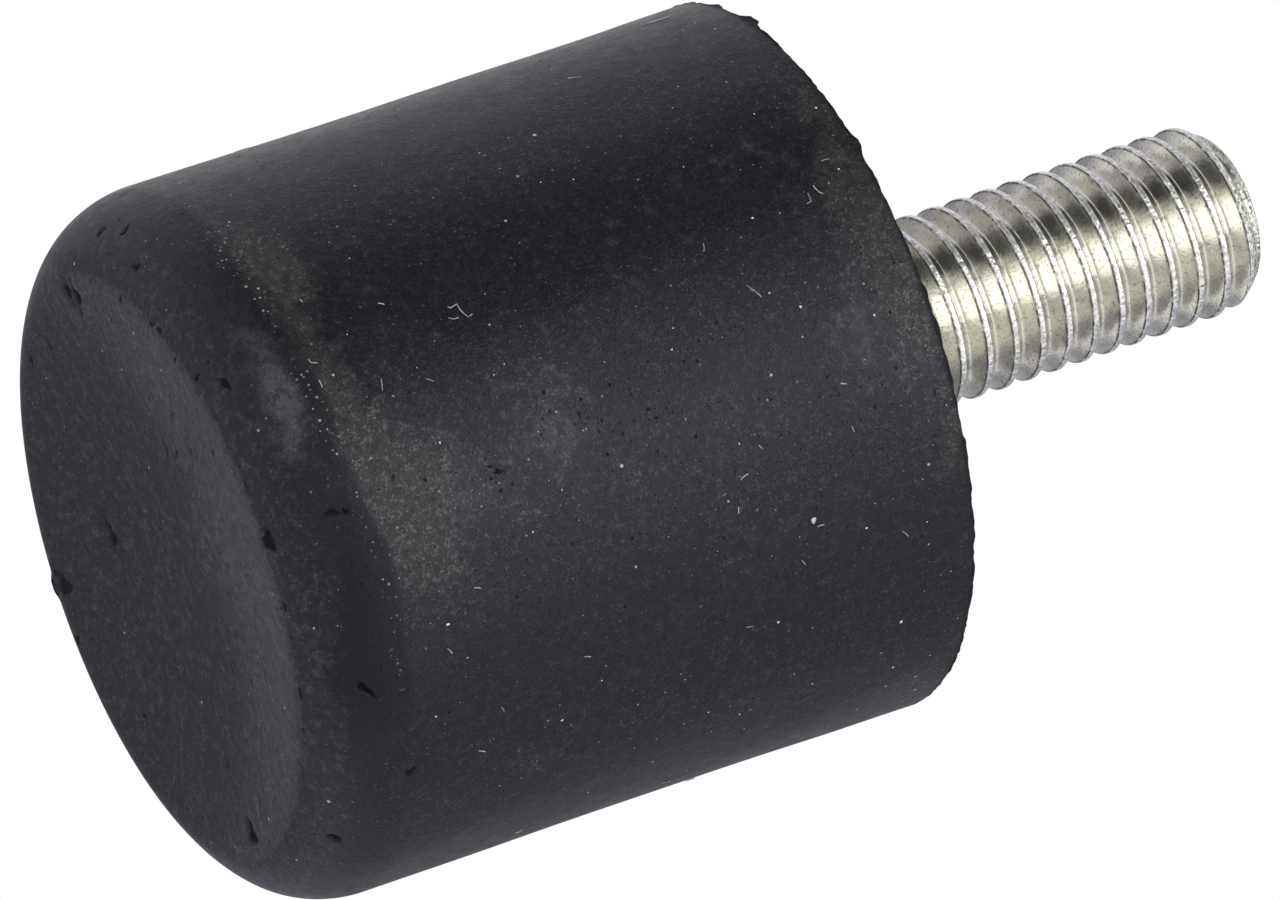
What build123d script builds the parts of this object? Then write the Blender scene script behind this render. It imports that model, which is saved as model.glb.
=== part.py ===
from build123d import *
from math import radians, tan
import os

# A cylindrical rubber buffer with a threaded steel stud at one end, in millimetres.
# It stands on its dished free face, with the stud pointing straight up along +Z.
# The origin is on the axis, in the plane in which the free face touches down.

# Rubber body: a moulded plug that narrows slightly from its rear rim to its free face
body_diameter = 30.0          # at the rear rim
body_height = 28.8            # from the contact land to the rear rim
wall_draft = 0.4              # degrees on each side
shoulder_height = 3.7         # where the straight wall ends and the rounded shoulder starts

# Contact land: the narrow flat ring of the free face that touches first
land_diameter = 24.0          # across the middle of the ring
land_width = 0.5

# Dish in the free face: a shallow floor inside a conical flank
dish_depth = 1.0              # at the axis
dish_floor_diameter = 11.2
dish_floor_crown = 0.1        # how much deeper the floor is at the axis than at its edge
dish_floor_round = 12.0       # where the floor turns into the flank

# Flash: the thin lip left standing on the rear rim where the mould halves met
flash_height = 0.3
flash_thickness = 0.25

# Plate: a stamped steel disc bonded into the rear of the rubber, which wraps its edge
plate_diameter = 26.0
plate_thickness = 2.5
plate_stand_out = 0.7         # how far it stands out of the rear rim, so that metal seats first
plate_edge_break = 0.4        # bevel round the rear face

# Stud: M8, pressed through the plate from inside and held by its flat head
stud_diameter = 8.0           # major diameter of the M8 x 1.25 thread
stud_length = 20.0            # from the plate's seat to the tip
stud_tip_diameter = 6.4
stud_tip_length = 1.0         # the chamfered end
collar_diameter = 9.4         # the plain part of the stud that is pressed into the plate
head_diameter = 13.0
head_thickness = 1.8

# Heights that the pieces share
seat_z = body_height + plate_stand_out        # rear face of the plate
plate_front_z = seat_z - plate_thickness      # front face of the plate, bonded to the rubber
head_front_z = plate_front_z - head_thickness
tip_z = seat_z + stud_length

os.makedirs("parts", exist_ok=True)


def wall_radius(z):
    """Radius of the drafted wall at a height: the rim's radius, less the draft over the rest."""
    return body_diameter / 2 - (body_height - z) * tan(radians(wall_draft))


# Steel plate: a stamped disc with a bevelled rear edge and a hole for the stud's collar
with BuildPart() as steel_plate:
    with BuildSketch(Plane.XY.offset(plate_front_z)):
        Circle(plate_diameter / 2)
        Circle(collar_diameter / 2, mode=Mode.SUBTRACT)
    extrude(amount=plate_thickness)
    rear_edges = steel_plate.edges().group_by(Axis.Z)[-1]
    chamfer(rear_edges.sort_by(SortBy.RADIUS)[-1], plate_edge_break)

# Threaded stud: one turned and rolled piece. From the inside out it is a flat head under the
# plate, a collar pressed into the plate, the M8 shank at its major diameter, and a chamfer.
with BuildPart() as threaded_stud:
    with BuildSketch(Plane.XZ):
        with BuildLine():
            Polyline(
                (0, head_front_z),
                (head_diameter / 2, head_front_z),
                (head_diameter / 2, plate_front_z),
                (collar_diameter / 2, plate_front_z),
                (collar_diameter / 2, seat_z),
                (stud_diameter / 2, seat_z),
                (stud_diameter / 2, tip_z - stud_tip_length),
                (stud_tip_diameter / 2, tip_z),
                (0, tip_z),
                close=True,
            )
        make_face()
    revolve(axis=Axis.Z)

# Rubber body: one moulded piece. Its half section runs from the dish out over the contact
# land, round the shoulder, up the wall to the flash lip, and back across the rear. The rubber
# is moulded round the plate and the stud's head, so both are taken out of it at their own size.
land_inner = ((land_diameter - land_width) / 2, 0)
land_outer = ((land_diameter + land_width) / 2, 0)
dish_floor_edge = (dish_floor_diameter / 2, dish_depth - dish_floor_crown)
rear_rim = (body_diameter / 2, body_height)

with BuildPart() as rubber_body:
    with BuildSketch(Plane.XZ) as half_section:
        with BuildLine():
            TangentArc((0, dish_depth), dish_floor_edge, tangent=(1, 0))
            Polyline(dish_floor_edge, land_inner, land_outer)
            wall = Line(rear_rim, (wall_radius(shoulder_height), shoulder_height))
            TangentArc(wall @ 1, land_outer, tangent=wall % 1)
            Polyline(
                rear_rim,
                (body_diameter / 2, body_height + flash_height),
                (body_diameter / 2 - flash_thickness, body_height),
                (0, body_height),
                (0, dish_depth),
            )
        make_face()
        floor_corner = half_section.vertices().sort_by_distance(dish_floor_edge)[0]
        fillet(floor_corner, dish_floor_round)
    revolve(axis=Axis.Z)
    add(steel_plate.part, mode=Mode.SUBTRACT)
    add(threaded_stud.part, mode=Mode.SUBTRACT)

rubber_body.part.label = "rubber_body"
steel_plate.part.label = "steel_plate"
threaded_stud.part.label = "threaded_stud"

for piece in (rubber_body, steel_plate, threaded_stud):
    export_step(piece.part, f"parts/{piece.part.label}.step")
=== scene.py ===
import bpy
import bmesh
import numpy as np
from mathutils import Matrix, Vector


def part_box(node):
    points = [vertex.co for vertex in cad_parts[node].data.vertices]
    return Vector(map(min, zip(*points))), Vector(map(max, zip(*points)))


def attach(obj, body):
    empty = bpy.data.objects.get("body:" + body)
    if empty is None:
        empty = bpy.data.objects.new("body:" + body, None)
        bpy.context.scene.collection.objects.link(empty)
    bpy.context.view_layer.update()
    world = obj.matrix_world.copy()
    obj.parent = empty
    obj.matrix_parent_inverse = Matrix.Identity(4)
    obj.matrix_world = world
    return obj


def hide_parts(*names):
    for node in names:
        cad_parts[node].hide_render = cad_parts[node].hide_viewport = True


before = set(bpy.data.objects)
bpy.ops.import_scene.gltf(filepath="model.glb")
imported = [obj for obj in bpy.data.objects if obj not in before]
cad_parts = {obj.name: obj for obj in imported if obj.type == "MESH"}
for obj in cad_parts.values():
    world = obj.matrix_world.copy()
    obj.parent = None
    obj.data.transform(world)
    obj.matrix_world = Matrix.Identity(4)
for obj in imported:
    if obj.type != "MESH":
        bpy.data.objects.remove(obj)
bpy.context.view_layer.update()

# ---------------------------------------------------------------- moulded rubber
# The body is one plug of black rubber, cured in a steel mould round the plate and the head
# of the stud. Trapped air and dirt in the mould leave pits in the free face and the shoulder,
# and the matt skin picks up dust, most of it where the shoulder turns into the wall.
mm = 0.001
body_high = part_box("rubber_body")[1] / mm
plate_low, plate_high = (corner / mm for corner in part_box("steel_plate"))
stud_low, stud_high = (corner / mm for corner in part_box("threaded_stud"))
rim_radius = body_high.x
rim_height = 28.8
shoulder_height = 3.7
wall_draft = 0.4              # degrees
wall_waist = 0.06             # how far the long wall shrinks inwards at its middle
land_inner, land_outer = 11.75, 12.25
land_middle = (land_inner + land_outer) / 2
dish_depth, dish_floor_radius, dish_crown = 1.0, 5.6, 0.1
dish_rounding = 0.18          # how softly the floor of the dish turns into its flank
pocket_clearance = 0.02       # keeps the skin of the pocket off the steel that fills it
skin_wave = 0.010             # how far the long waves of the skin move it
waves_start, waves_end = 13, 40.8     # the stretch of the skin that they run over
worn_edge = 12.55             # how far along the skin the rubbed grey of the land ends
lip_limit = 0.34              # the torn lip stays this low, well under the face of the plate
skin_relief = 0.028           # depth of the bump in the material
weld = 0.002                  # points closer together than this become one

# Pits: angle from the front in degrees, distance from the middle of the dish along the skin,
# half length, half width, turn from the radial direction in degrees, depth, or height if negative
pits = [
    (1.8, 12.50, 0.42, 0.42, 84, 0.30),
    (-89.4, 11.60, 0.50, 0.40, 4, 0.30),
    (-85.4, 11.40, 0.46, 0.30, -10, 0.26),
    (-85.6, 12.00, 0.18, 0.14, 0, 0.16),
    (-86.8, 10.70, 0.16, 0.12, 0, 0.14),
    (-162.5, 6.50, 0.60, 0.27, 80, 0.26),
    (-177.0, 11.50, 0.50, 0.54, 90, 0.26),
    (-177.0, 12.50, 0.50, 0.20, 90, -0.12),
    (-174.2, 11.90, 0.24, 0.18, 0, 0.12),
    (29.4, 15.31, 0.52, 0.15, 46, 0.22),
    (46.3, 16.95, 0.32, 0.15, -48, 0.20),
    (88.9, 11.24, 0.56, 0.44, -25, 0.30),
    (62.5, 14.28, 0.26, 0.19, 30, 0.18),
    (96.1, 8.38, 0.17, 0.14, 0, 0.16),
    (145.6, 9.66, 0.26, 0.12, 80, 0.14),
    (0.4, 15.60, 0.30, 0.14, 10, 0.14),
    (0.9, 16.15, 0.18, 0.12, 80, 0.12),
    (-44.3, 8.00, 0.15, 0.13, 0, 0.16),
    (-46.2, 5.63, 0.22, 0.11, 40, 0.15),
    (-33.4, 7.28, 0.16, 0.14, 0, 0.14),
    (-20.9, 10.20, 0.17, 0.12, 0, 0.14),
    (-56.8, 5.04, 0.15, 0.12, 0, 0.12),
    (-75.7, 14.15, 0.20, 0.15, 50, 0.16),
    (-68.3, 14.56, 0.20, 0.14, 0, 0.14),
    (-59.1, 13.63, 0.26, 0.16, 70, 0.14),
    (-61.3, 12.00, 0.22, 0.13, 30, 0.14),
    (-48.5, 12.24, 0.20, 0.12, 60, 0.14),
    (-45.5, 12.38, 0.26, 0.10, 75, 0.12),
    (-38.7, 12.06, 0.16, 0.12, 20, 0.12),
    (-31.4, 12.64, 0.16, 0.12, 0, 0.12),
    (-26.3, 13.69, 0.40, 0.16, 86, 0.16),
    (79.0, 10.21, 0.15, 0.12, 0, 0.12),
    (-112.7, 10.79, 0.18, 0.14, 0, 0.14),
    (-123.6, 11.61, 0.20, 0.16, 0, 0.14),
    (172.0, 12.00, 0.24, 0.18, 0, 0.16),
    (14.0, 12.46, 0.26, 0.05, 88, 0.07),
    (20.5, 12.44, 0.20, 0.05, 92, 0.06),
    (31.0, 12.48, 0.34, 0.05, 90, 0.08),
    (39.0, 12.44, 0.22, 0.05, 86, 0.06),
    (-9.0, 12.45, 0.22, 0.05, 90, 0.06),
    (2.5, 22.66, 0.20, 0.13, 30, 0.16),
    (1.5, 22.36, 0.13, 0.10, 0, 0.12),
]

# Taller stretches of the torn lip on the rear rim: angle, half width in degrees, height
tall_lips = [
    (-84, 2.6, 0.34), (-78.9, 1.0, 0.08), (-73.6, 1.7, 0.14), (-63.7, 0.9, 0.22), (-61.9, 0.8, 0.40),
    (-60.3, 1.2, 0.12), (-40, 1.5, 0.08), (-28.5, 1.2, 0.22), (3, 6, 0.05), (37, 2, 0.10),
    (120, 20, 0.12), (170, 12, 0.15), (-150, 16, 0.10), (-112, 6, 0.14)]

# Dirt line round the front of the shoulder: angle, height and strength. It wanders on at random
# round the back.
dirt_line = [
    (-60, 3.30, 0.5), (-46, 2.95, 0.8), (-32, 3.15, 0.9), (-22, 2.95, 1.0), (-14, 3.00, 1.0),
    (-4, 3.25, 1.0), (4, 3.40, 1.0), (13, 3.60, 0.9), (21, 3.35, 0.6), (30, 3.20, 0.35),
    (42, 3.15, 0.2), (70, 3.30, 0.25)]

# Painted shade band, the deep black strip painted into the crease where the shoulder ends: angle, lowest,
# highest, strength
bare_band = [
    (-75, 2.8, 3.5, 0.0), (-60, 2.8, 3.5, 0.3), (-46, 2.3, 3.6, 0.5), (-37, 3.0, 3.9, 0.5),
    (-29, 3.2, 4.0, 0.6), (-22, 2.8, 3.6, 0.8), (-14, 2.95, 3.75, 0.8), (-9, 2.6, 3.5, 0.7),
    (-4, 2.6, 3.4, 0.6), (2, 2.4, 3.6, 0.8), (7, 2.0, 3.9, 1.0), (13, 1.7, 4.0, 1.0),
    (19, 1.4, 3.9, 0.9), (25, 0.6, 3.8, 0.9), (31, 0.9, 3.9, 0.8), (38, 1.2, 3.7, 0.4),
    (45, 1.5, 3.6, 0.15), (70, 1.5, 3.5, 0.0)]

# Films: angle, height, half width in degrees, half height, strength
olive_films = [
    (-42, 4.2, 12, 1.5, 0.9), (-30, 3.9, 10, 1.0, 0.7), (-14, 4.1, 10, 0.9, 0.8), (0, 5.0, 12, 1.6, 0.95),
    (12, 5.2, 8, 1.6, 0.55), (3, 8.0, 13, 3.0, 0.7), (-4, 12.2, 9, 2.2, 0.55), (24, 21.5, 9, 3.0, 0.25),
    (71, 26.6, 9, 2.0, 0.5), (-64, 8.0, 10, 3.0, 0.3), (0, 25.5, 8, 1.8, 0.3), (-40, 28.0, 12, 1.1, 0.6),
    (-20, 27.6, 13, 1.6, 0.8), (0, 27.8, 12, 1.8, 0.8), (18, 28.2, 10, 1.2, 0.5)]
# Pale films in the same columns: a pale bluish film on the shoulder, and bright patches of painted highlight
# down the front of the wall
pale_films = [
    (-19, 2.1, 5.5, 0.75, 1.3), (-11, 1.9, 5, 0.8, 0.50), (-29, 2.2, 5.5, 0.8, 0.60),
    (1.5, 7.3, 7, 1.4, 0.45), (-1, 12.3, 9, 2.2, 0.38), (1, 25.6, 8, 1.2, 0.55), (7, 18.5, 10, 2.5, 0.16)]

# How thick the dust lies round the wall: angle and share
dust_fall = [
    (-70, 1.2), (-50, 1.3), (-40, 0.75), (-30, 0.5), (-22, 0.65), (-10, 1.0), (3, 1.1), (10, 1.3),
    (18, 1.1), (27, 0.65), (36, 0.65), (50, 0.95), (80, 1.1)]


def smoothly(x):
    """Rises from 0 to 1 as x does, with no slope at either end: 3 x squared less 2 x cubed."""
    x = np.clip(x, 0, 1)
    return x * x * (3 - 2 * x)


def smooth_smaller(a, b, rounding):
    """The smaller of a and b, with the corner where they cross rounded: a weighted mean of both,
    less a low parabola of the weight."""
    share = np.clip(0.5 + (a - b) / rounding, 0, 1)
    return a + (b - a) * share - rounding / 2 * share * (1 - share)


def spread(run, gaps_at, gaps):
    """Places along a run at the spacing that gaps gives for each place. Spacing is turned into
    a running count of steps, and each whole number of it is one place."""
    count = np.r_[0, np.cumsum(np.diff(run) / np.interp(run[1:], gaps_at, gaps))]
    return np.interp(np.linspace(0, count[-1], int(round(count[-1])) + 1), count, run)


def distance_along(section):
    """How far along a section each of its points lies: the running sum of its steps."""
    return np.r_[0, np.cumsum(np.hypot(*np.diff(section, axis=0).T))]


def points_at(section, places):
    """The points of a section at the given distances along it."""
    run = distance_along(section)
    return np.stack([np.interp(places, run, section[:, k]) for k in (0, 1)], 1)


def spread_rows(section, gaps_at, gaps):
    """Points along a section at the given spacing, and how far along it each one lies."""
    wanted = spread(distance_along(section), gaps_at, gaps)
    return points_at(section, wanted), wanted


def turned(section, angles):
    """Turns a half section of radii and heights about Z: x is r sin a and y is -r cos a, with
    the angle a counted from the front, -Y. Rows follow the section and columns the angle."""
    r, z, a = section[:, :1], section[:, 1:], angles[None, :]
    return np.stack([r * np.sin(a), -r * np.cos(a), z + 0 * a], axis=-1)


def skin(name, grid, wrapped=True, **values):
    """A smooth mesh over a grid of points in millimetres. Neighbours share a quad, the last
    column joins the first where the grid is wrapped, and points that meet are merged, which
    closes the poles. Each value given by name is kept on the points for the material."""
    rows, columns = grid.shape[:2]
    j, i = np.meshgrid(np.arange(rows - 1), np.arange(columns - (not wrapped)), indexing="ij")
    right = (i + 1) % columns
    quads = np.stack([j * columns + i, j * columns + right,
                      (j + 1) * columns + right, (j + 1) * columns + i], -1).reshape(-1, 4)
    mesh = bpy.data.meshes.new(name)
    mesh.from_pydata((grid.reshape(-1, 3) * mm).tolist(), [], quads.tolist())
    for key, value in values.items():
        layer = mesh.attributes.new(key, "FLOAT", "POINT")
        layer.data.foreach_set("value", np.broadcast_to(value, (rows, columns)).ravel().astype("f"))
    piece = bpy.data.objects.new(name, mesh)
    bpy.context.scene.collection.objects.link(piece)
    return joined(name, piece)


def joined(name, *parts):
    """The parts as one smooth mesh, with the points that meet merged."""
    shape = bmesh.new()
    for part in parts:
        shape.from_mesh(part.data)
    bmesh.ops.remove_doubles(shape, verts=shape.verts, dist=weld * mm)
    mesh = parts[0].data
    shape.to_mesh(mesh)
    shape.free()
    mesh.shade_smooth()
    for part in parts[1:]:
        bpy.data.objects.remove(part)
    parts[0].name = name
    return parts[0]


def body_section():
    """The half section of the rubber as radii and heights. From the axis out: a crowned floor
    that turns softly into a straight flank, the land, the arc of the shoulder, which meets the
    wall upright, and the drafted wall with its waist, half a wave of a sine."""
    r = np.arange(0, land_inner, 0.05)
    floor = dish_depth - dish_crown * (r / dish_floor_radius) ** 2
    flank = (land_inner - r) * (dish_depth - dish_crown) / (land_inner - dish_floor_radius)
    dish = np.stack([r, smooth_smaller(flank, floor, dish_rounding)], 1)

    slope = np.tan(np.radians(wall_draft))
    wall_foot = rim_radius - (rim_height - shoulder_height) * slope
    shoulder_radius = ((wall_foot - land_outer) ** 2 + shoulder_height**2) / 2 / (wall_foot - land_outer)
    turn = np.linspace(np.arcsin(shoulder_height / shoulder_radius), 0, 120)
    shoulder = np.stack([wall_foot - shoulder_radius + shoulder_radius * np.cos(turn),
                         shoulder_height - shoulder_radius * np.sin(turn)], 1)

    z = np.linspace(shoulder_height, rim_height, 400)[1:]
    bow = np.sin(np.pi * (z - shoulder_height) / (rim_height - shoulder_height))
    wall = np.stack([rim_radius - (rim_height - z) * slope - wall_waist * bow, z], 1)

    front = np.vstack([dish, [(land_inner, 0), (land_middle, 0)], shoulder, wall])
    even = np.arange(0, distance_along(front)[-1], 0.02)
    front = points_at(front, even)
    # the moulded land has no sharp edge, so points near it take the mean of their neighbours
    softened = front.copy()
    for _ in range(3):
        padded = np.pad(softened, ((9, 9), (0, 0)), mode="edge")
        softened = np.stack([np.convolve(padded[:, k], np.ones(19) / 19, "valid") for k in (0, 1)], 1)
    near = np.exp(-(((even - land_middle) / 1.2) ** 4))[:, None]
    front = front + (softened - front) * near
    front[:, 1] -= front[:, 1].min() * near[:, 0]
    return front


def press_pits(grid, section, run, angles):
    """Pushes each pit into the skin, or raises it where its depth is negative. A pit is an
    ellipse laid out along and across the skin and turned, whose edge sways in and out by sines
    of the direction from its middle. The depth falls off smoothly from the middle to the edge."""
    along = np.gradient(section, run, axis=0)
    along /= np.hypot(*along.T)[:, None]
    inward = np.stack([-along[:, 1:] * np.sin(angles), along[:, 1:] * np.cos(angles),
                       along[:, :1] + 0 * angles], -1)
    deep, hollow = np.zeros(grid.shape[:2]), np.zeros(grid.shape[:2])
    for angle, place, half_length, half_width, turn, depth in pits:
        radius = np.interp(place, run, section[:, 0])
        swing = (np.degrees(angles) - angle + 180) % 360 - 180
        across = np.radians(swing)[None, :] * (radius + 0 * run[:, None])
        down = (run - place)[:, None] + 0 * across
        c, s = np.cos(np.radians(turn)), np.sin(np.radians(turn))
        u, v = (down * c + across * s) / half_length, (across * c - down * s) / half_width
        way = np.arctan2(v, u)
        sway = 1 + 0.20 * np.sin(3 * way + 7 * angle) + 0.12 * np.sin(5 * way + 3 * place)
        hole = smoothly((1.20 - np.hypot(u, v) * sway) * 1.4)
        deep += depth * hole
        # the strongest pit at each point is kept, and the material paints it black as the shade inside the
        # pit
        hollow = np.maximum(hollow, hole)
    return grid + inward * deep[..., None], hollow


def films(places, degrees, z):
    """Strength of a film from its table: each patch falls off as a bell curve of the distance
    from its middle, counted in half widths round the body and half heights up it."""
    angle, up, wide, high, strength = np.array(places).T[:, None, None, :]
    swing = (degrees[None, :, None] - angle + 180) % 360 - 180
    return (strength * np.exp(-((swing / wide) ** 2) - ((z[:, None, None] - up) / high) ** 2)).sum(-1)


def ragged(step, seed):
    """Random heights from 0 to 1 round the rim, one to each step of so many degrees, and on
    between along straight lines, so that the ring closes."""
    steps = np.random.default_rng(seed).random(int(360 / step))
    return np.interp(degrees + 180, np.arange(len(steps) + 1) * 360 / len(steps), np.r_[steps, steps[:1]])


# columns lie closer together round the front, and rows on the land, the shoulder, the rim and
# the two small pits in the wall
degrees = spread(np.linspace(-180, 180, 3601), [-180, -102, -94, 94, 102, 180],
                 [0.85, 0.85, 0.38, 0.38, 0.85, 0.85])[:-1]
angles = np.radians(degrees)
section, run = spread_rows(
    body_section(), [0, 4, 6, 10, 11, 17.2, 18.2, 22.0, 22.2, 22.9, 23.1, waves_end, 41.4],
    [0.6, 0.35, 0.27, 0.2, 0.14, 0.14, 0.95, 0.95, 0.14, 0.14, 0.95, 0.95, 0.12])
# the rear as radius, height and share of the lip: the torn lip, the flat of the rim, then the
# pocket for the plate and for the head of the stud
pocket, head = plate_high.x + pocket_clearance, stud_high.x + pocket_clearance
pocket_floor, head_floor = plate_low.z - pocket_clearance, stud_low.z - pocket_clearance
rear = np.array([
    (rim_radius, rim_height + 0.001, 0.6), (rim_radius - 0.01, rim_height + 0.002, 1.0),
    (rim_radius - 0.08, rim_height + 0.002, 0.85), (rim_radius - 0.18, rim_height + 0.001, 0.35),
    (rim_radius - 0.24, rim_height, 0), (rim_radius - 0.5, rim_height, 0),
    (pocket + 0.1, rim_height + 0.02, 0), (pocket, rim_height - 0.1, 0), (pocket, pocket_floor, 0),
    (head + 1.0, pocket_floor, 0), (head, pocket_floor, 0), (head, head_floor, 0), (0, head_floor, 0)])
lip_share = np.r_[0 * run, rear[:, 2]]
section = np.vstack([section, rear[:, :2]])
run = np.r_[run, run[-1] + distance_along(section[len(run) - 1:])[1:]]
grid = turned(section, angles)
# the cured skin is never quite true: a few long shallow waves run round and along it
waves = np.random.default_rng(4)
swell = sum(
    waves.uniform(0.3, 1) * np.sin(
        k * angles[None, :] + run[:, None] * waves.uniform(-0.7, 0.7) + waves.uniform(0, 6))
    for k in (2, 3, 5, 8, 11, 13, 17, 19))
outward = grid * [1, 1, 0] / np.maximum(np.hypot(grid[..., 0], grid[..., 1]), 1)[..., None]
on_wall = smoothly((run - waves_start) / 4) * smoothly((waves_end - run) / 3)
grid = grid + outward * (skin_wave * swell * on_wall[:, None])[..., None]
grid, hollow = press_pits(grid, section, run, angles)

# where the mould halves met, a thin lip of rubber stands on the rim; it was torn off by hand
lip_angles, lip_widths, lip_heights = np.array(tall_lips).T
swing = (degrees[:, None] - lip_angles + 180) % 360 - 180
tall = (np.exp(-((swing / lip_widths) ** 2)) * lip_heights).sum(1)
tears = 0.45 * ragged(3.6, 1) + 0.3 * ragged(1.5, 2) + 0.25 * ragged(0.75, 3)
lip = np.clip(0.02 + tall * (0.5 + tears) + 0.20 * (tears - 0.42), 0, lip_limit)
lean = 0.05 * (ragged(9, 4) - 0.5) + 0.06 * (ragged(1.0, 5) - 0.5)
grid[..., 2] += lip * lip_share[:, None]
grid += outward * (lean * lip_share[:, None])[..., None]


def front_to_back(table, column, behind):
    """A column of a table by angle, read along straight lines between its rows. From 60 to 85
    degrees off the front it turns smoothly into the value for the back."""
    at_back = smoothly((np.abs(degrees) - 60) / 25)
    rows = np.array(table)
    return np.interp(degrees, rows[:, 0], rows[:, column]) * (1 - at_back) + behind * at_back


wander = sum(waves.uniform(0.5, 1) * np.sin(k * angles + waves.uniform(0, 6)) for k in (3, 4, 7, 11)) * 0.12
line_height = front_to_back(dirt_line, 1, 3.25 + wander)
line_strength = front_to_back(dirt_line, 2, 0.4 + wander)
# the band of painted crease shade: from its table at the front, and following the dirt line round the back
band_low = front_to_back(bare_band, 1, line_height - 0.7)
band_high = front_to_back(bare_band, 2, line_height + 0.1)
band_strength = front_to_back(bare_band, 3, 0.35)
# films at random round the back: angle, height, half width, half height, strength
back_films = list(zip(*(waves.uniform(low, high, 14) for low, high in (
    (100, 260), (4, 26), (6, 16), (1, 4), (0.2, 0.7)))))

outside = (section[:, 0] > land_outer) & (run < run[np.argmax(lip_share > 0)])
up_wall = np.where(outside, section[:, 1], 0)
# the torn lip is fresh, matt and black, and its black goes on over the last of the wall below it as painted
# shade under the lip
near_rim = outside * smoothly((section[:, 1] - rim_height + 0.20) / 0.18)
torn_edge = np.maximum(smoothly(lip_share * 2), near_rim)
# the land that meets the stop is rubbed grey, more so at the front, with a sharp edge where
# the shoulder starts
toward_front = np.cos(angles)
worn_land = (0.62 + 0.38 * toward_front) * smoothly((run[:, None] - 6 + 7 * toward_front) / 7)
worn_land = worn_land * smoothly((worn_edge - run[:, None]) / 0.35)
inside_band = np.minimum(up_wall[:, None] - band_low, band_high - up_wall[:, None])
rubber = skin(
    "moulded_rubber", grid, hollow=hollow, rubbed=worn_land, soiled=line_strength,
    above_line=np.where(outside[:, None], up_wall[:, None] - line_height, -3.0),
    olive=films(olive_films + back_films, degrees, up_wall) * outside[:, None] + 0.5 * lip_share[:, None],
    pale=films(pale_films, degrees, up_wall) * outside[:, None],
    dusted=np.interp(degrees, *np.array(dust_fall).T),
    bare=band_strength * smoothly(inside_band / 0.5 + 0.5) * outside[:, None],
    torn=torn_edge[:, None] * (0.55 + 0.45 * smoothly((tears - 0.3) * 3)))


def put(tree, kind, inputs=None, **options):
    """Adds a node, sets its options, and fills its inputs: a socket is linked, a value set."""
    node = tree.nodes.new("ShaderNode" + kind)
    for key, value in options.items():
        setattr(node, key, value)
    for key, value in (inputs or {}).items():
        if isinstance(value, bpy.types.NodeSocket):
            tree.links.new(value, node.inputs[key])
        else:
            node.inputs[key].default_value = value
    return node


def work(tree, operation, *values):
    """A Math node: its operation on sockets or numbers."""
    return put(tree, "Math", dict(enumerate(values)), operation=operation).outputs[0]


def times(tree, product, *values):
    """The product of two or more values."""
    for value in values:
        product = work(tree, "MULTIPLY", product, value)
    return product


def rise(tree, value, low, high, start=0.0, end=1.0):
    """A smooth step from start to end while value goes from low to high."""
    return put(tree, "MapRange", {0: value, 1: low, 2: high, 3: start, 4: end},
               interpolation_type="SMOOTHSTEP").outputs[0]


def coats(tree, colour, *layers):
    """A colour under further coats. Each coat covers what lies under it as far as its share."""
    for share, coat in layers:
        colour = put(tree, "Mix", {0: share, 6: colour, 7: coat}, data_type="RGBA").outputs[2]
    return colour


def noise(tree, place, scale, detail=3.0, roughness=0.6):
    """A Noise Texture's value, from 0 to 1 about a mean of a half."""
    return put(tree, "TexNoise", {"Vector": place, "Scale": scale, "Detail": detail,
                                  "Roughness": roughness}).outputs[0]


def held(tree, name):
    """A value that the mesh keeps on its points."""
    return put(tree, "Attribute", attribute_name=name).outputs["Fac"]


def effect(name, inputs, outputs):
    """An empty shader group with named inputs and outputs, and its two end nodes."""
    tree = bpy.data.node_groups.new(name, "ShaderNodeTree")
    for socket, value in inputs.items():
        kind = "NodeSocketVector" if isinstance(value, tuple) else "NodeSocketFloat"
        tree.interface.new_socket(socket, in_out="INPUT", socket_type=kind).default_value = value
    for socket in outputs:
        tree.interface.new_socket(socket, in_out="OUTPUT", socket_type="NodeSocketFloat")
    return tree, tree.nodes.new("NodeGroupInput").outputs, tree.nodes.new("NodeGroupOutput")


def use(tree, group, inputs):
    """Places a shared group in a material with its own values, and returns its outputs."""
    return put(tree, "Group", inputs, node_tree=group).outputs


# Specks: scattered round grains. Space is cut into cells, a share of them holds one grain each,
# and the grain reaches from the middle of its cell to a size of its own.
specks, given, end = effect(
    "scattered_specks", {"Vector": (0.0, 0.0, 0.0), "Scale": 1.0, "Share": 0.3, "Size": 0.1}, ["Mask"])
cells = put(specks, "TexVoronoi", {"Vector": given["Vector"], "Scale": given["Scale"]})
chance = put(specks, "SeparateColor", {0: cells.outputs["Color"]}).outputs
kept = work(specks, "LESS_THAN", chance[0], given["Share"])
reach = times(specks, given["Size"], work(specks, "MULTIPLY_ADD", chance[1], 0.75, 0.25))
inside = work(specks, "SUBTRACT", 1.0, work(specks, "DIVIDE", cells.outputs["Distance"], reach))
specks.links.new(times(specks, kept, rise(specks, inside, 0.0, 0.5)), end.inputs["Mask"])

# Tooth: the fine grain of a surface, two sizes of noise put together
tooth, given, end = effect("fine_tooth", {"Vector": (0.0, 0.0, 0.0), "Scale": 8.0}, ["Tooth"])
fine = noise(tooth, given["Vector"], given["Scale"], 2.0)
coarse = noise(tooth, given["Vector"], times(tooth, given["Scale"], 0.3))
both = work(tooth, "MULTIPLY_ADD", coarse, 0.4, times(tooth, fine, 0.6))
tooth.links.new(both, end.inputs["Tooth"])


def sprinkled(tree, place, scale, share, size):
    """The mask of the shared specks: cells to a millimetre, the share that is filled, and the
    size of the largest speck as a part of its cell."""
    return use(tree, specks, {"Vector": place, "Scale": scale, "Share": share, "Size": size})["Mask"]


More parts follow.
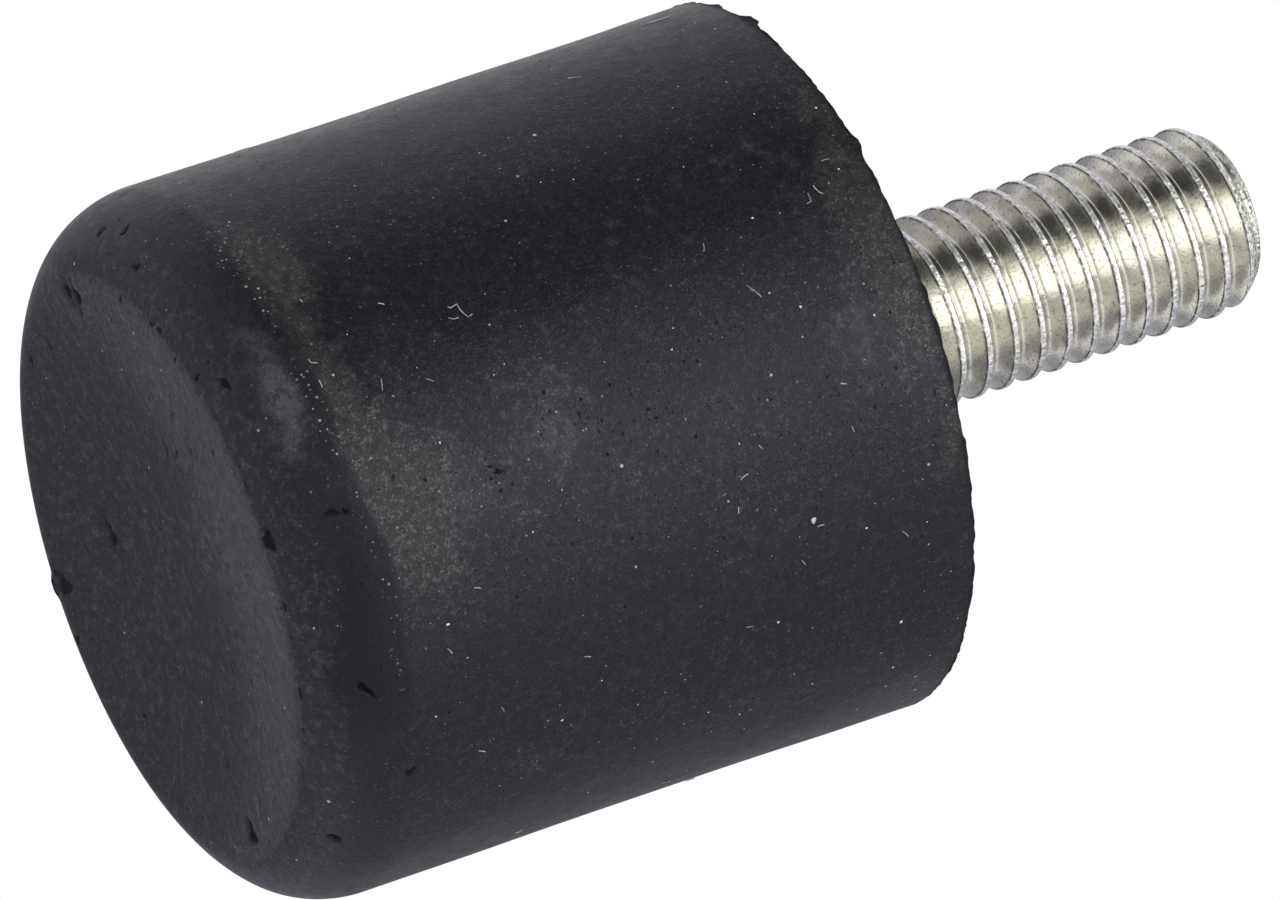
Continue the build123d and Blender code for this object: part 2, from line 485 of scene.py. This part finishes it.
def new_material(name, shader):
    """A material whose Principled shader holds the constants given, with its tree, the shader's
    inputs and the object's own coordinates in millimetres."""
    material = bpy.data.materials.new(name)
    material.use_nodes = True
    tree = material.node_tree
    inputs = tree.nodes["Principled BSDF"].inputs
    for key, value in shader.items():
        inputs[key].default_value = value
    place = put(tree, "Mapping", {0: put(tree, "TexCoord").outputs["Object"], 3: (1000, 1000, 1000)})
    return material, tree, inputs, place.outputs[0]


def link_surface(tree, shader, colour, rough, height, relief):
    """Gives the shader its colour, its roughness and a bump of so many millimetres."""
    bump = put(tree, "Bump", {"Height": height, "Strength": 1.0, "Distance": relief * mm})
    tree.links.new(colour, shader["Base Color"])
    tree.links.new(rough, shader["Roughness"])
    tree.links.new(bump.outputs[0], shader["Normal"])


black_rubber, tree, shader, place = new_material(
    "black_rubber", {"Specular IOR Level": 0.30, "Specular Tint": (0.84, 0.81, 1.0, 1)})
grain = use(tree, tooth, {"Vector": place, "Scale": 9.0})["Tooth"]
cloud = noise(tree, place, 0.30, 5.0)
streak = noise(tree, place, 1.1, 6.0, 0.7)
mottle = noise(tree, place, 2.6, 7.0, 0.8)
sway = work(tree, "SUBTRACT", streak, 0.5)
above = work(tree, "MULTIPLY_ADD", sway, 1.5, held(tree, "above_line"))

# films: an olive one that clouds the wall from the dirt line up, a pale bluish one on the shoulder with
# patches of painted highlight down the front of the wall, and the grey of the rubbed land
olive = work(tree, "ADD", held(tree, "olive"), work(tree, "MULTIPLY_ADD", cloud, 1.6, -0.86))
olive = rise(tree, work(tree, "MULTIPLY_ADD", sway, 1.6, olive), 0.05, 1.0)
olive = times(tree, olive, rise(tree, above, -0.1, 0.25))
pale = rise(tree, work(tree, "MULTIPLY_ADD", sway, 2.0, held(tree, "pale")), 0.05, 1.30)
rubbed = times(tree, held(tree, "rubbed"), rise(tree, streak, 0.25, 0.6, 0.65, 1.0))
film = work(tree, "MAXIMUM", olive, work(tree, "MAXIMUM", pale, rubbed))
# the dark side of the dirt line: the last of the shoulder, in the crease under the wall, is painted deep
# black as shade
bare = held(tree, "bare")
bare = times(tree, bare, rise(tree, work(tree, "MULTIPLY_ADD", sway, 1.6, bare), 0.10, 0.55))
# dust settles on the films and on the tops of the grain, and little of it on the band of painted crease shade
fallen = times(tree, held(tree, "dusted"), work(tree, "MULTIPLY_ADD", bare, -0.8, 1.0))
settled = times(tree, rise(tree, film, 0.0, 0.6, 0.55, 1.0), fallen)
thickness = work(tree, "MULTIPLY_ADD", film, 0.34, rise(tree, above, -1.5, 0.5, 0.08, 0.16))
dusty = times(tree, rise(tree, grain, 0.50, 0.64), thickness, fallen)
# the free face has a coarser, sandy skin
sandy = times(tree, rise(tree, above, -1.6, -2.2), rise(tree, mottle, 0.50, 0.66, 0.0, 0.32))
# grit gathers on the dirt line, and powder, grains and flakes lie over everything
gathered = times(tree, rise(tree, above, -0.40, -0.05), rise(tree, above, 0.8, 0.2),
                 rise(tree, held(tree, "soiled"), 0.1, 0.9), rise(tree, cloud, 0.38, 0.55, 0.35, 1.0))
powder = sprinkled(tree, place, 4.2, 0.50, 0.26)
grit = sprinkled(tree, place, 4.8, 0.70, 0.38)
grains = sprinkled(tree, place, 2.1, 0.40, 0.13)
flakes = sprinkled(tree, place, 0.75, 0.65, 0.075)
# painted shade: pores, pinholes and pits are painted black for the shade inside them, and the torn lip is
# black as fresh matt rubber and as painted shade under it
pores = sprinkled(tree, place, 1.7, 0.42, 0.17)
pinholes = sprinkled(tree, place, 5.0, 0.40, 0.30)
holes = work(tree, "MAXIMUM", pores, times(tree, pinholes, 0.6))
dark = work(tree, "MAXIMUM", rise(tree, held(tree, "hollow"), 0.10, 0.7), times(tree, holes, 0.9))
# the torn lip and the last of the wall under it: black rubber and painted shade
dark = work(tree, "MAXIMUM", dark, times(tree, held(tree, "torn"), 0.9))

colour = coats(
    tree, (0.0048, 0.0043, 0.0066, 1),
    (olive, (0.0258, 0.0243, 0.0188, 1)),
    # pale bluish film, and painted highlight down the front of the wall
    (pale, (0.0600, 0.0580, 0.0650, 1)),
    (rubbed, (0.0365, 0.0342, 0.0435, 1)),
    (rise(tree, mottle, 0.56, 0.36, 0.0, 0.75), (0.0015, 0.0014, 0.0022, 1)),
    # painted shade in the crease where the shoulder meets the wall
    (times(tree, bare, 0.9), (0.0012, 0.0012, 0.0020, 1)),
    (dusty, (0.128, 0.125, 0.126, 1)),
    (sandy, (0.120, 0.113, 0.130, 1)),
    (times(tree, powder, settled), (0.105, 0.103, 0.101, 1)),
    (times(tree, gathered, 0.9, grit), (0.30, 0.30, 0.29, 1)),
    (times(tree, settled, 0.9, grains), (0.30, 0.30, 0.29, 1)),
    (times(tree, flakes, 0.9), (0.42, 0.42, 0.41, 1)),
    (dark, (0.0012, 0.0012, 0.0012, 1)))
rough = work(tree, "ADD", rise(tree, streak, 0.30, 0.70, 0.36, 0.46), times(tree, olive, 0.06))
rough = work(tree, "MULTIPLY_ADD", bare, 0.16, work(tree, "MULTIPLY_ADD", dark, 0.35, rough))
height = work(tree, "MULTIPLY_ADD", holes, -2.0, work(tree, "ADD", grain, times(tree, powder, 0.3)))
height = work(tree, "MULTIPLY_ADD", sway, 1.2, work(tree, "MULTIPLY_ADD", mottle, 0.8, height))
link_surface(tree, shader, colour, rough, height, skin_relief)
rubber.data.materials.append(black_rubber)
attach(rubber, "root")
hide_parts("rubber_body")

# ---------------------------------------------------------------- bonded steel plate
# A disc stamped from steel sheet, zinc plated and bonded into the rear of the rubber, which
# wraps its edge. It stands a little proud of the rim, so that metal seats before rubber does.
edge_break, bore_break = 0.4, 0.12
collar_radius = 4.7           # the stud's collar, which fills the bore
plate_dishing = 0.03          # how far stamping sinks the middle of the disc
plate_columns = 240
plate_relief = 0.004


def cut_corners(corners):
    """A section whose every corner is a short curve. Two points are set back from the corner by
    its cut, one along each side, and a parabola joins them that has the corner as its handle."""
    corners = np.asarray(corners, float)
    points = [corners[:1, :2]]
    t = np.linspace(0, 1, 5)[:, None]
    for before, (*corner, cut), after in zip(corners[:-2, :2], corners[1:-1], corners[2:, :2]):
        corner = np.array(corner)
        a = corner + (before - corner) / np.hypot(*(before - corner)) * cut
        b = corner + (after - corner) / np.hypot(*(after - corner)) * cut
        points.append((1 - t) ** 2 * a + 2 * t * (1 - t) * corner + t**2 * b)
    return np.vstack(points + [corners[-1:, :2]])


plate_section = cut_corners([
    (collar_radius, plate_low.z, 0), (plate_high.x, plate_low.z, 0.1),
    (plate_high.x, plate_high.z - edge_break, 0.08), (plate_high.x - edge_break, plate_high.z, 0.08),
    (collar_radius + bore_break, plate_high.z, 0.04), (collar_radius, plate_high.z - bore_break, 0.04),
    (collar_radius, plate_low.z, 0)])
plate_section, _ = spread_rows(plate_section, [0, 8, 10.5, 12, 20, 22], [2, 0.3, 0.12, 0.6, 0.6, 0.1])
grid = turned(plate_section, np.radians(np.arange(plate_columns) * 360 / plate_columns))
on_top = smoothly((grid[..., 2] - plate_high.z + 0.2) / 0.2)
grid[..., 2] -= plate_dishing * on_top * smoothly((plate_high.x - np.hypot(grid[..., 0], grid[..., 1])) / 8)
plate = skin("bonded_plate", grid)

# Zinc: plated steel with a faint green-yellow passivation, cloudy at the scale of a millimetre,
# with a crystalline tooth and small dark spots
zinc, given, end = effect("plated_zinc", {"Vector": (0.0, 0.0, 0.0)}, ["Cloud", "Spots", "Height"])
zinc_tooth = use(zinc, tooth, {"Vector": given["Vector"], "Scale": 6.0})["Tooth"]
zinc_spots = sprinkled(zinc, given["Vector"], 2.0, 0.30, 0.13)
zinc.links.new(noise(zinc, given["Vector"], 0.8, 5.0), end.inputs["Cloud"])
zinc.links.new(zinc_spots, end.inputs["Spots"])
zinc.links.new(work(zinc, "SUBTRACT", zinc_tooth, times(zinc, zinc_spots, 1.5)), end.inputs["Height"])

plated_plate, tree, shader, place = new_material("plated_plate", {"Metallic": 1.0, "Roughness": 0.34})
zinc_out = use(tree, zinc, {"Vector": place})
xyz = put(tree, "SeparateXYZ", {0: place}).outputs
radius = put(tree, "VectorMath", {0: put(tree, "CombineXYZ", {0: xyz[0], 1: xyz[1]}).outputs[0]},
             operation="LENGTH").outputs["Value"]
# sheet grain: straight rolling lines, noise stretched along the way that the sheet was rolled
rolled = noise(tree, put(tree, "Mapping", {0: place, 3: (0.35, 9.0, 1.0)}).outputs[0], 1.0, 4.0, 0.7)
# the bond's black primer stains the edge
stain = work(tree, "ADD", radius, times(tree, zinc_out["Cloud"], 1.6))
colour = coats(
    tree, (0.50, 0.50, 0.46, 1),
    (rise(tree, zinc_out["Cloud"], 0.35, 0.65), (0.64, 0.63, 0.55, 1)),
    (rise(tree, rolled, 0.45, 0.75, 0.0, 0.35), (0.40, 0.40, 0.38, 1)),
    (rise(tree, stain, 12.9, 13.7, 0.0, 0.85), (0.035, 0.034, 0.032, 1)),
    (times(tree, zinc_out["Spots"], 0.7), (0.10, 0.10, 0.09, 1)))
rough = rise(tree, zinc_out["Cloud"], 0.3, 0.7, 0.28, 0.42)
height = work(tree, "ADD", zinc_out["Height"], times(tree, rolled, 1.2))
link_surface(tree, shader, colour, rough, height, plate_relief)
plate.data.materials.append(plated_plate)
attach(plate, "root")
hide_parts("steel_plate")

# ---------------------------------------------------------------- threaded stud
# An M8 stud, cold headed, then rolled: the dies press a 60 degree thread into the blank, and the metal that
# they raise leaves a fine seam along either edge of the crest, painted dark as the shade in its fold. It is
# zinc plated like the plate, and its head and pressed collar hold it inside the buffer.
pitch = 1.25
crest_radius, root_radius = 4.0, 3.27
crest_half_width = 0.12
flank_angle = 30              # degrees, from square to the axis
root_rounding = 0.44          # how softly the flanks turn into the root
groove_at, groove_half_width, groove_depth = 0.115, 0.022, 0.025
seam_at, seam_half_width = 0.140, 0.028
polish_half_width = 0.175     # a highlight is painted this far to either side of the middle of the crest
thread_start = 0.83           # height of a crest at the front, to the nearest whole pitch
tip_radius, tip_length = 3.2, 1.0
tip_bow = 0.85                # at 1 the chamfer is a straight cone, and below that it bulges
tip_drop = 0.27               # the sheared end stops this far short of the stud's full length
beaten_length = 0.7           # how much of the end is knocked about
neck_radius = 3.6             # plain rolled blank between the plate and the first thread
neck_length, run_out = 0.7, 1.1
stud_columns = 168
stud_relief = 0.006


def thread_radius(offset):
    """Radius at an offset from the middle of a crest: a flat crest with a shallow groove near
    either edge, straight flanks, and a rounded root, taken as the smooth larger of flank and
    root, which is the smooth smaller of both with their signs turned."""
    past_crest = np.maximum(np.abs(offset) - crest_half_width, 0)
    flank = crest_radius - past_crest / np.tan(np.radians(flank_angle))
    form = -smooth_smaller(-flank, -root_radius, root_rounding)
    return form - groove_depth * np.exp(-(((np.abs(offset) - groove_at) / groove_half_width) ** 2))


# rows across one pitch, close together on the crest and at the foot of the flanks
offsets = np.array([
    -0.60, -0.54, -0.48, -0.42, -0.36, -0.28, -0.21, -0.17, -0.14, -0.115, -0.09, -0.045, 0.0,
    0.045, 0.09, 0.115, 0.14, 0.17, 0.21, 0.28, 0.36, 0.42, 0.48, 0.54])
seat_height, tip_height = plate_high.z, stud_high.z - tip_drop
turns = np.arange(int(seat_height / pitch) - 1, int(tip_height / pitch) + 2)
at_front = (thread_start + pitch * turns[:, None] + offsets).ravel()
helix_angles = np.linspace(0, 2 * np.pi, stud_columns + 1)
climb = at_front[:, None] + pitch * helix_angles / (2 * np.pi)
z = np.clip(climb, seat_height, tip_height)
# a clipped point keeps its own place on the thread, so its offset moves with it
offset = np.tile(offsets, len(turns))[:, None] + (z - climb)
offset = (offset + pitch / 2) % pitch - pitch / 2
fade = smoothly((z - seat_height - neck_length) / run_out)
r = neck_radius + (thread_radius(offset) - neck_radius) * fade
cone = tip_radius + (crest_radius - tip_radius) * ((tip_height - z) / tip_length) ** tip_bow
# the bright crest is a painted highlight along the thread
crest = smoothly((polish_half_width - np.abs(offset)) / 0.05) * fade
# the seam is painted dark as the shade in its fold
seam = np.exp(-(((np.abs(offset) - seam_at) / seam_half_width) ** 2)) * fade * (r < cone)
# the chamfer is beaten, and so is the last of the thread before it
beaten = np.maximum(smoothly((r - cone) / 0.06 + 0.5), smoothly(1 - (tip_height - z) / beaten_length))
r = np.minimum(r, cone)
grid = np.stack([r * np.sin(helix_angles), -r * np.cos(helix_angles), z], -1)
shank = skin("rolled_stud", grid, wrapped=False, crest=crest, seam=seam, beaten=beaten)

inner_section = cut_corners([
    (0, stud_low.z, 0), (stud_high.x, stud_low.z, 0.3), (stud_high.x, plate_low.z, 0.1),
    (collar_radius - 0.01, plate_low.z, 0.05), (collar_radius - 0.01, seat_height, 0.08),
    (neck_radius + 0.25, seat_height, 0.02), (neck_radius, seat_height, 0)])
inner_section, _ = spread_rows(inner_section, [0, 6, 9, 12, 20], [1.5, 0.3, 0.6, 0.25, 0.2])
root = skin("stud_root", turned(inner_section, helix_angles[:-1]), crest=0.0, seam=0.0, beaten=0.0)
end_section, _ = spread_rows(np.array([(tip_radius, tip_height), (2.6, tip_height), (0, tip_height - 0.06)]),
                             [0, 4], [0.2, 0.2])
tip = skin("stud_end", turned(end_section, helix_angles[:-1]), crest=0.0, seam=0.0, beaten=0.8)
stud = joined("rolled_stud", shank, root, tip)

plated_stud, tree, shader, place = new_material("plated_stud", {"Metallic": 1.0, "Roughness": 0.25})
zinc_out = use(tree, zinc, {"Vector": place})
on_crest = held(tree, "crest")
beaten_end = held(tree, "beaten")
bead = noise(tree, place, 4.5, 2.0, 0.5)
broken = noise(tree, place, 2.2, 4.0, 0.7)
frost = noise(tree, place, 7.5, 3.0, 0.75)
dents = noise(tree, place, 5.5, 2.0)
colour = coats(
    tree, (0.63, 0.62, 0.57, 1),
    (rise(tree, zinc_out["Cloud"], 0.35, 0.65), (0.73, 0.72, 0.64, 1)),
    # painted highlight along the crest, in beads
    (times(tree, on_crest, rise(tree, bead, 0.40, 0.60)), (0.93, 0.93, 0.96, 1)),
    (rise(tree, frost, 0.46, 0.32, 0.0, 0.80), (0.16, 0.16, 0.145, 1)),
    # painted shade in the seam's fold
    (times(tree, held(tree, "seam"), rise(tree, broken, 0.42, 0.52)), (0.030, 0.028, 0.025, 1)),
    (times(tree, beaten_end, rise(tree, dents, 0.52, 0.38, 0.0, 0.85)), (0.14, 0.138, 0.13, 1)),
    (times(tree, zinc_out["Spots"], 0.8), (0.06, 0.055, 0.05, 1)))
rough = work(tree, "ADD", rise(tree, zinc_out["Cloud"], 0.3, 0.7, 0.14, 0.24), times(tree, on_crest, 0.17))
height = work(tree, "ADD", zinc_out["Height"], times(tree, bead, on_crest, 15.0))
height = work(tree, "MULTIPLY_ADD", frost, 1.4, height)
height = work(tree, "MULTIPLY_ADD", times(tree, dents, beaten_end), 22.0, height)
link_surface(tree, shader, colour, rough, height, stud_relief)
stud.data.materials.append(plated_stud)
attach(stud, "root")
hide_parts("threaded_stud")

# ---------------------------------------------------------------- lint and dust
# Loose textile fibres and crumbs of chalk from the packing cling to the matt rubber. Each fibre
# is a thin curled tube that lies on the wall, and each crumb a flattened grain.
fibre_radius = 0.024
fibre_points = 21
stray_fibres = 44
stray_crumbs = 420
# Fibres: angle from the front, height, length, turn from the axis in degrees, bend, wave
fibres = [
    (-23.9, 10.00, 0.16, 33, 0, 0), (-23.9, 10.19, 0.42, -13, 0.3, 0), (-22.6, 10.41, 0.74, 74, -0.4, 0),
    (-21.6, 10.66, 0.18, -20, 0, 0), (-22.0, 9.95, 0.46, 19, -1.0, 0), (-23.1, 26.36, 0.60, 69, -0.6, 0.02),
    (-22.4, 25.90, 0.42, 97, 0.2, 0), (-21.6, 25.79, 0.26, -12, 0, 0), (-27.5, 27.29, 0.41, 0, 0.5, 0.02),
    (-22.5, 3.73, 0.56, 33, -0.4, 0), (-15.5, 6.00, 0.55, 108, 0, 0.01), (-13.9, 7.91, 0.37, 38, 0.2, 0),
    (-28.1, 7.53, 0.28, 30, 0.4, 0), (-33.0, 4.65, 0.18, 77, 0, 0), (15.3, 19.22, 0.43, -23, 0.5, 0.01),
    (11.7, 20.18, 0.24, 58, 0, 0), (17.0, 18.22, 0.20, -18, 0.3, 0), (-11.1, 22.02, 0.84, 57, 0.2, 0.01),
    (-20.1, 20.85, 0.40, 110, 0.4, 0), (-11.2, 21.98, 0.30, 40, 0, 0), (-18.7, 3.32, 0.40, 110, 0, 0),
    (18.5, 7.17, 0.35, 20, 0.4, 0), (26.8, 5.57, 0.35, 60, 0.3, 0), (47.0, 6.71, 0.40, 30, 0.3, 0),
    (40.0, 7.62, 0.30, 70, 0, 0), (35.7, 11.44, 0.35, 20, 0.5, 0), (26.8, 22.09, 0.35, 0, 0.3, 0),
    (32.9, 25.76, 0.45, 50, 0.3, 0), (32.0, 21.18, 0.30, 60, 0, 0), (40.3, 18.65, 0.35, 10, 0.3, 0),
    (13.6, 24.20, 0.35, 80, 0, 0), (6.6, 24.31, 0.30, 20, 0, 0), (-63.0, 20.94, 0.60, 30, 0.2, 0),
    (-76.5, 26.47, 1.30, 5, 0.1, 0), (20.1, 18.69, 0.30, 100, 0, 0),
]
drift = np.random.default_rng(23)
strays = np.stack([drift.uniform(75, 280, stray_fibres), drift.uniform(5, 28, stray_fibres),
                   drift.uniform(0.3, 1.3, stray_fibres), drift.uniform(-90, 90, stray_fibres),
                   drift.normal(0, 0.8, stray_fibres), drift.uniform(0, 0.15, stray_fibres)], 1)
fibres = np.vstack([fibres, strays])


def wall_radius(z):
    """Radius of the wall at a height, from the section of the rubber without its rear."""
    front = section[:-len(rear)]
    wall = front[front[:, 0] > land_outer]
    return np.interp(z, wall[:, 1], wall[:, 0])


def fibre_paths():
    """Centre lines of all fibres at once, as points on the unrolled wall. The course turns
    steadily by the bend and sways by the wave, and its running sum is the path. A short fibre
    bends less, or its tube would fold into itself."""
    t = np.linspace(-0.5, 0.5, fibre_points)
    angle, up, length, turn, bend, wave = (fibres[:, k:k + 1] for k in range(6))
    gentle = np.minimum(length, 1)
    course = np.radians(turn) + bend * 2.2 * t * gentle**0.5 + wave * 9 * gentle * np.sin(14 * t + turn)
    step = length / (fibre_points - 1)
    along = np.cumsum(np.cos(course) * step, 1)
    across = np.cumsum(np.sin(course) * step, 1)
    along -= along.mean(1, keepdims=True)
    across -= across.mean(1, keepdims=True)
    z = np.clip(up + along, shoulder_height, rim_height - 0.2)
    return np.radians(angle) + across / rim_radius, z


def lay_tubes(angle, z, radius):
    """Tubes of six sides round paths on the wall: each ring's points go out from the wall by the
    sine and sideways by the cosine, and the ring shrinks to a point at either end."""
    along_z = np.gradient(z, axis=1)
    along_arc = np.gradient(angle, axis=1) * rim_radius
    pace = np.hypot(along_z, along_arc)
    around = np.radians(np.arange(6) * 60)
    taper = np.sqrt(np.clip(1 - np.linspace(-1, 1, z.shape[1]) ** 8, 0, 1))[None, :, None]
    thick = radius * taper
    sideways, out = np.cos(around) * thick, (np.sin(around) + 0.7) * thick
    a = angle[..., None] + sideways * (along_z / pace)[..., None] / rim_radius
    h = z[..., None] - sideways * (along_arc / pace)[..., None]
    r = wall_radius(h) + out
    return np.stack([r * np.sin(a), -r * np.cos(a), h], -1)


paths = lay_tubes(*fibre_paths(), fibre_radius)
lint = joined("lint_fibres", *[skin("fibre", path[:, ::-1]) for path in paths])

textile, tree, shader, place = new_material("textile_fibre", {"Roughness": 0.8})
shade = noise(tree, place, 1.2, 3.0, 0.5)
colour = coats(tree, (0.20, 0.20, 0.205, 1), (rise(tree, shade, 0.4, 0.6), (0.42, 0.42, 0.41, 1)))
tree.links.new(colour, shader["Base Color"])
lint.data.materials.append(textile)
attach(lint, "root")

# Crumbs: angle from the front, height, half size
crumbs_at = [
    (49.8, 25.62, 0.070), (25.6, 21.80, 0.100), (22.5, 5.67, 0.060), (-13.3, 6.24, 0.045),
    (-6.5, 23.61, 0.055), (-1.8, 26.43, 0.055), (-37.0, 28.20, 0.050), (-34.8, 19.87, 0.040),
    (-39.7, 25.80, 0.040), (-22.1, 23.30, 0.045), (-25.3, 27.60, 0.045), (5.3, 21.00, 0.045),
    (13.6, 11.95, 0.040), (8.3, 11.60, 0.040), (13.0, 9.96, 0.040), (-4.3, 7.33, 0.045),
    (5.7, 4.53, 0.045), (29.7, 24.07, 0.045), (41.3, 19.94, 0.045), (20.5, 15.54, 0.035),
    (20.7, 13.17, 0.035), (22.4, 13.20, 0.035), (47.9, 14.92, 0.040), (48.5, 13.70, 0.040),
    (46.3, 10.29, 0.045), (37.1, 4.69, 0.045), (-16.1, 0.95, 0.060), (-48.2, 25.74, 0.045),
    (14.8, 22.91, 0.040), (61.1, 25.69, 0.045), (58.0, 21.86, 0.040), (56.2, 17.08, 0.045),
    (59.8, 18.64, 0.045), (28.9, 6.25, 0.040)]
scattered = np.stack([drift.uniform(-180, 180, stray_crumbs), drift.uniform(4, 28.4, stray_crumbs),
                      0.013 + 0.028 * drift.random(stray_crumbs) ** 2], 1)
crumbs_at = np.vstack([crumbs_at, scattered])


def grains_on_wall(places):
    """Flattened grains of five by eight points: a sphere whose rings are squeezed to half its
    height, shifted by a little chance so that no two are alike."""
    up, way = np.meshgrid(np.linspace(-np.pi / 2, np.pi / 2, 5), np.radians(np.arange(8) * 45), indexing="ij")
    knobs = 1 + 0.35 * drift.standard_normal((len(places), 8))[:, None, :] * np.cos(up)
    size = places[:, 2, None, None]
    side = size * knobs * np.cos(up) * np.cos(way)
    lift = size * knobs * np.cos(up) * np.sin(way)
    out = size * (0.5 * np.sin(up) + 0.3)
    z = places[:, 1, None, None] + lift
    r = wall_radius(z) + out
    a = np.radians(places[:, 0])[:, None, None] + side / rim_radius
    return np.stack([r * np.sin(a), -r * np.cos(a), z], -1)


crumbs = joined("chalk_crumbs", *[skin("crumb", grain) for grain in grains_on_wall(crumbs_at)])
chalk, tree, shader, place = new_material("chalk_crumb", {"Roughness": 0.9})
shade = noise(tree, place, 0.6, 2.0, 0.5)
colour = coats(tree, (0.22, 0.22, 0.22, 1), (rise(tree, shade, 0.35, 0.6), (0.66, 0.67, 0.68, 1)))
tree.links.new(colour, shader["Base Color"])
crumbs.data.materials.append(chalk)
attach(crumbs, "root")

# ---------------------------------------------------------------- floor, light and camera
# The buffer stands on a pale floor inside a white tent. One large soft box lights it from the
# front, and four dim cards, seen only in reflections, give the black rubber its shape.
bpy.context.scene.view_settings.view_transform = "Standard"


def card(name, centre, width, height, colour, foot, head):
    """A flat card facing the object, which only reflections see. Its light changes evenly from
    the strength at its foot to the one at its head."""
    w, h = width / 2, height / 2
    mesh = bpy.data.meshes.new(name)
    facing = Vector(centre).to_track_quat("Z", "Y").to_matrix()
    corners = [Vector(centre) + facing @ Vector((x, y, 0)) for x, y in ((-w, -h), (w, -h), (w, h), (-w, h))]
    mesh.from_pydata([tuple(c) for c in corners], [], [(0, 1, 2, 3)])
    piece = bpy.data.objects.new(name, mesh)
    bpy.context.scene.collection.objects.link(piece)
    material = bpy.data.materials.new(name)
    material.use_nodes = True
    tree = material.node_tree
    tree.nodes.clear()
    up = put(tree, "SeparateXYZ", {0: put(tree, "NewGeometry").outputs["Position"]}).outputs[2]
    ends = sorted(corner[2] for corner in corners)
    strength = put(tree, "MapRange", {0: up, 1: ends[0], 2: ends[-1], 3: foot, 4: head}).outputs[0]
    glow = put(tree, "Emission", {"Color": colour, "Strength": strength})
    tree.links.new(glow.outputs[0], put(tree, "OutputMaterial").inputs["Surface"])
    mesh.materials.append(material)
    for ray in ("camera", "diffuse", "transmission", "volume_scatter", "shadow"):
        setattr(piece, "visible_" + ray, False)


def heading(azimuth, elevation):
    """The unit direction at an angle round from the front and a height above the horizon."""
    a, e = np.radians(azimuth), np.radians(elevation)
    return Vector((np.sin(a) * np.cos(e), -np.cos(a) * np.cos(e), np.sin(e)))


# Cards: place, width, height, colour, strength at the foot and at the head
card("overhead_card", heading(-60, 21) * 0.6, 0.48, 0.90, (0.90, 0.88, 1.0, 1), 0.13, 0.03)
card("left_card", heading(-117, 5) * 0.62, 0.80, 1.10, (0.95, 0.93, 1.0, 1), 0.76, 0.86)
card("right_card", heading(135, 18) * 0.62, 1.16, 0.86, (0.92, 0.90, 1.0, 1), 0.66, 0.34)
card("back_card", heading(180, -13) * 0.6, 0.70, 0.64, (0.90, 0.87, 1.0, 1), 0.05, 0.70)

key = bpy.data.lights.new("soft_box", "AREA")
key.shape = "RECTANGLE"
key.size, key.size_y = 0.44, 0.58
key_radiance = 2.25
key.energy = key_radiance * np.pi * key.size * key.size_y
key_side = heading(7, 36)
lamp = bpy.data.objects.new("soft_box", key)
lamp.location = key_side * 0.6
lamp.rotation_euler = key_side.to_track_quat("Z", "Y").to_euler()
bpy.context.scene.collection.objects.link(lamp)

world = bpy.data.worlds.new("white_tent")
bpy.context.scene.world = world
world.use_nodes = True
tree = world.node_tree
tree.nodes.clear()
light_path = put(tree, "LightPath").outputs
direct = work(tree, "MAXIMUM", light_path["Is Camera Ray"],
              work(tree, "MAXIMUM", light_path["Is Glossy Ray"], light_path["Is Transmission Ray"]))
tent = put(tree, "Background", {"Color": (1, 1, 1, 1), "Strength": rise(tree, direct, 0.0, 1.0, 0.78, 1.0)})
tree.links.new(tent.outputs[0], put(tree, "OutputWorld").inputs["Surface"])

half_floor = 3
floor_mesh = bpy.data.meshes.new("floor")
floor_mesh.from_pydata([(x * half_floor, y * half_floor, 0) for x, y in ((-1, -1), (1, -1), (1, 1), (-1, 1))],
                       [], [(0, 1, 2, 3)])
floor = bpy.data.objects.new("floor", floor_mesh)
bpy.context.scene.collection.objects.link(floor)
pale_floor = bpy.data.materials.new("pale_floor")
pale_floor.use_nodes = True
tree = pale_floor.node_tree
paint = tree.nodes["Principled BSDF"]
paint.inputs["Base Color"].default_value = (0.88, 0.88, 0.88, 1)
paint.inputs["Roughness"].default_value = 0.9
# the floor is a sheet seen from above only, so the view from below meets the tent
one_sided = put(tree, "MixShader", {0: put(tree, "NewGeometry").outputs["Backfacing"],
                                    1: paint.outputs[0], 2: put(tree, "BsdfTransparent").outputs[0]})
tree.links.new(one_sided.outputs[0], tree.nodes["Material Output"].inputs["Surface"])
floor_mesh.materials.append(pale_floor)
for ray in ("diffuse", "glossy", "transmission", "shadow"):
    setattr(floor, "visible_" + ray, False)

# The camera looks up from below at the free face and the front of the wall, rolled so that the
# stud points up to the right
view_elevation, view_roll, view_distance = -22.323, 71.419, 0.48814
aim = Vector((1.635, 0.0, 21.281)) * mm
camera = bpy.data.cameras.new("camera")
camera.lens, camera.sensor_width = 339.46, 36.0
camera.clip_start, camera.clip_end = 0.05, 10
eye = bpy.data.objects.new("camera", camera)
toward_eye = heading(0, view_elevation)
turn = toward_eye.to_track_quat("Z", "Y").to_matrix() @ Matrix.Rotation(np.radians(view_roll), 3, "Z")
eye.matrix_world = Matrix.Translation(aim + toward_eye * view_distance) @ turn.to_4x4()
bpy.context.scene.collection.objects.link(eye)
bpy.context.scene.camera = eye
